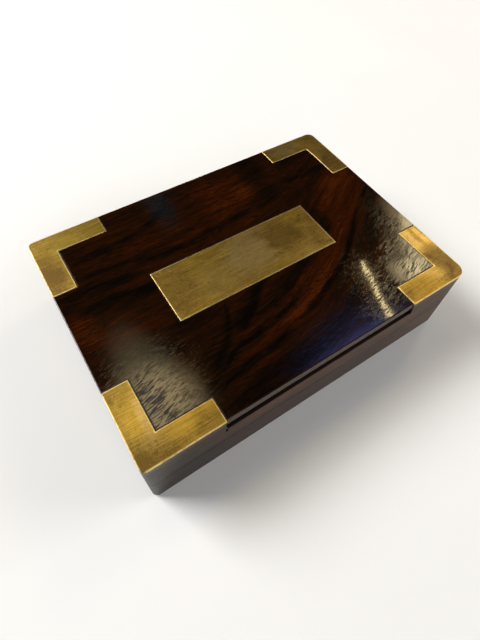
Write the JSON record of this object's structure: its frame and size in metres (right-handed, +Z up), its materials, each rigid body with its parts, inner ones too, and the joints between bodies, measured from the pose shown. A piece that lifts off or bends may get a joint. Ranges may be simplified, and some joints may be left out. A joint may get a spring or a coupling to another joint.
{
  "type": "playing card box",
  "caption": "Flat rectangular hardwood box with brass corner plates and plaque let into a hinged lid, a finger groove along the front, and felt-lined wells for two card decks.",
  "frame": {"origin": "middle of the underside, on the surface the box stands on", "axes": "+X along the long side to the right, +Y from the grooved front to the hinged back, +Z up through the lid"},
  "size_m": [0.152, 0.109, 0.038],
  "materials": {
    "rosewood": "old polished rosewood, near black veins, gloss with open pores",
    "liner_wood": "thin mahogany, satin oil",
    "inlay_brass": "aged, brushed along the box, tarnished at the edges",
    "hinge_brass": "drawn brass, lightly tarnished",
    "hinge_pin_steel": "plain steel wire",
    "lining_felt": "short green wool felt",
    "baize": "green baize, slightly worn"
  },
  "bodies": {
    "base": {"base_front_wall": "rosewood", "base_back_wall": "rosewood", "base_left_wall": "rosewood", "base_right_wall": "rosewood", "base_bottom_board": "rosewood", "underside_baize": "baize", "liner_front": "liner_wood", "liner_back": "liner_wood", "liner_left": "liner_wood", "liner_right": "liner_wood", "card_divider": "liner_wood", "well_felt_left": "lining_felt", "well_felt_right": "lining_felt", "hinge_left_base_leaf": "hinge_brass", "hinge_right_base_leaf": "hinge_brass", "hinge_left_pin": "hinge_pin_steel", "hinge_right_pin": "hinge_pin_steel", "hinge_screws_base": "hinge_brass"},
    "lid": {"lid_top_board": "rosewood", "lid_front_wall": "rosewood", "lid_back_wall": "rosewood", "lid_left_wall": "rosewood", "lid_right_wall": "rosewood", "corner_plate_front_left": "inlay_brass", "corner_plate_front_right": "inlay_brass", "corner_plate_back_left": "inlay_brass", "corner_plate_back_right": "inlay_brass", "name_plaque": "inlay_brass", "corner_plate_pins": "inlay_brass", "plaque_pins": "inlay_brass", "lid_lining": "lining_felt", "hinge_left_lid_leaf": "hinge_brass", "hinge_right_lid_leaf": "hinge_brass", "hinge_screws_lid": "hinge_brass"}
  },
  "joints": [
    {"name": "lid_hinge", "type": "hinge", "parent": "base", "child": "lid", "pos_m": [0, 0.0528, 0.018], "axis": [-1, 0, 0], "range_deg": [0, 100]}
  ]
}
